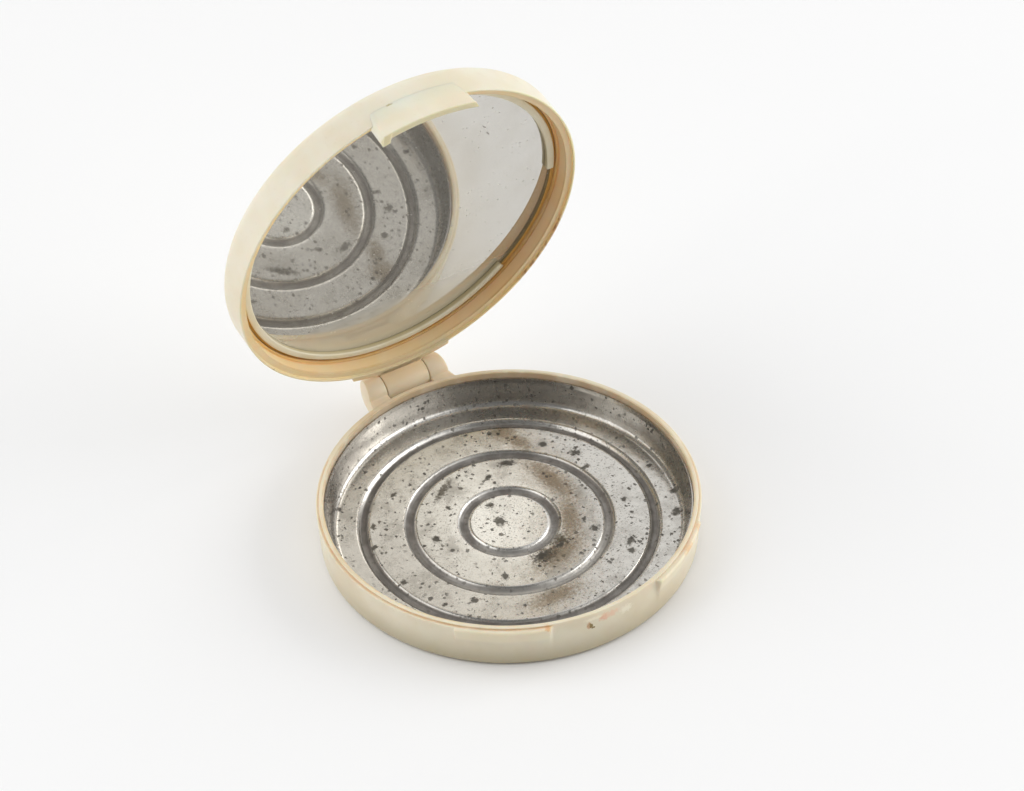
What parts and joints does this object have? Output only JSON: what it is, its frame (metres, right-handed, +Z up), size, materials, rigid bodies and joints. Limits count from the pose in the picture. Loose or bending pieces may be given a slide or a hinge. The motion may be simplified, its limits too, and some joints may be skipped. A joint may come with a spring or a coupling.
{
  "type": "compact mirror",
  "caption": "Round hinged powder compact with a mirror in the lid, a pressed tin powder pan in the base and a thumb tab opposite the hinge.",
  "frame": {"origin": "centre of the base's flat underside, on the table", "axes": "+Z up from the table, +Y from the centre toward the hinge, +X along the hinge pin"},
  "size_m": [0.075, 0.0865, 0.0876],
  "materials": {
    "ivory_plastic": "aged ivory moulding, satin, yellowed, with brown dirt in its corners",
    "pan_tin": "bright tinplate, dulled, with dark tarnish specks",
    "pin_steel": "plain drawn wire",
    "backing_card": "pressed card, hidden behind the glass",
    "mirror_glass": "flat silvered glass with a few scratches",
    "ring_plastic": "pale split ring, slightly stained"
  },
  "bodies": {
    "base": {"base_casing": "ivory_plastic", "powder_pan": "pan_tin", "hinge_pin": "pin_steel"},
    "lid": {"lid_casing": "ivory_plastic", "mirror_backing": "backing_card", "mirror_glass": "mirror_glass", "mirror_ring": "ring_plastic"}
  },
  "joints": [
    {"name": "lid_hinge", "type": "hinge", "parent": "base", "child": "lid", "pos_m": [0, 0.04135, 0.00875], "axis": [-1, 0, 0], "range_deg": [-80.5, 19.5]}
  ]
}
